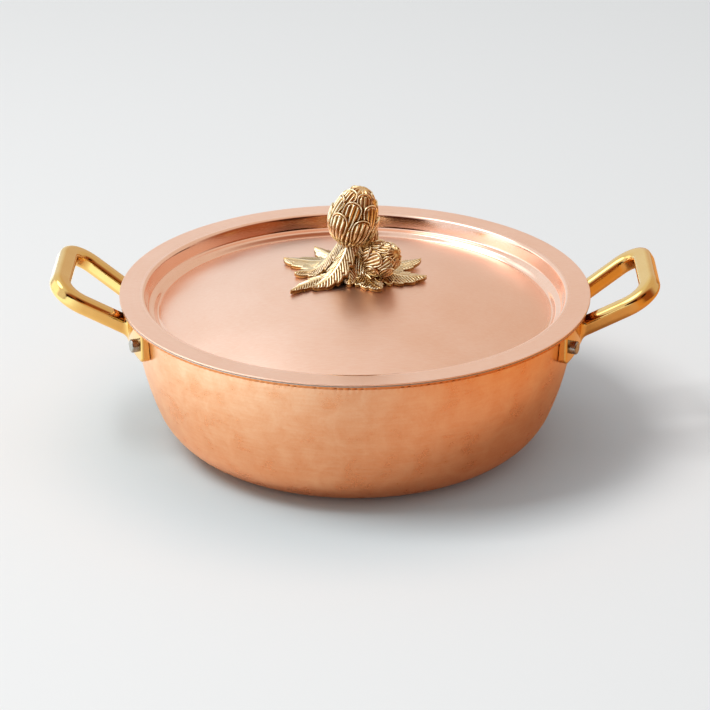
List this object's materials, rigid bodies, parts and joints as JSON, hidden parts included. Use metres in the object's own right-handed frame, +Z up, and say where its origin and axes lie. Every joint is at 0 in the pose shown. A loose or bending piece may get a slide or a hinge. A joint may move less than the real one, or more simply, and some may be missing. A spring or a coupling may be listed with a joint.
{
  "type": "covered copper cooking pot",
  "caption": "Low round-sided copper cooking pot with a tin lining, brass loop handles riveted to its sides, and a sunk lid with an artichoke knob that lifts off.",
  "frame": {"origin": "centre of the flat base, on the surface that the pot stands on", "axes": "+Z up, X through the two handles, -Y towards the viewer of the picture"},
  "size_m": [0.3592, 0.28, 0.1579],
  "materials": {
    "copper_bowl": "hammered copper, lightly polished",
    "copper_lid": "smooth copper, satin panel and polished flange",
    "tin": "hand-wiped tin, soft satin",
    "cast_brass": "polished cast brass",
    "antique_brass": "cast brass, darkened in the hollows",
    "rivet_steel": "satin",
    "screw_steel": "satin"
  },
  "bodies": {
    "pot": {"pot_bowl": "copper_bowl", "pot_lining": "tin", "right_handle": "cast_brass", "left_handle": "cast_brass", "right_front_rivet": "rivet_steel", "right_rear_rivet": "rivet_steel", "left_front_rivet": "rivet_steel", "left_rear_rivet": "rivet_steel"},
    "lid": {"lid_shell": "copper_lid", "lid_lining": "tin", "knob_leaves": "antique_brass", "knob_stem": "antique_brass", "artichoke_head": "antique_brass", "artichoke_bud_front": "antique_brass", "artichoke_bud_rear": "antique_brass", "knob_washer": "screw_steel", "knob_screw": "screw_steel"}
  },
  "joints": [
    {"name": "lid_lift", "type": "slide", "parent": "pot", "child": "lid", "axis": [0, 0, 1], "range_m": [0, 0.12]}
  ]
}
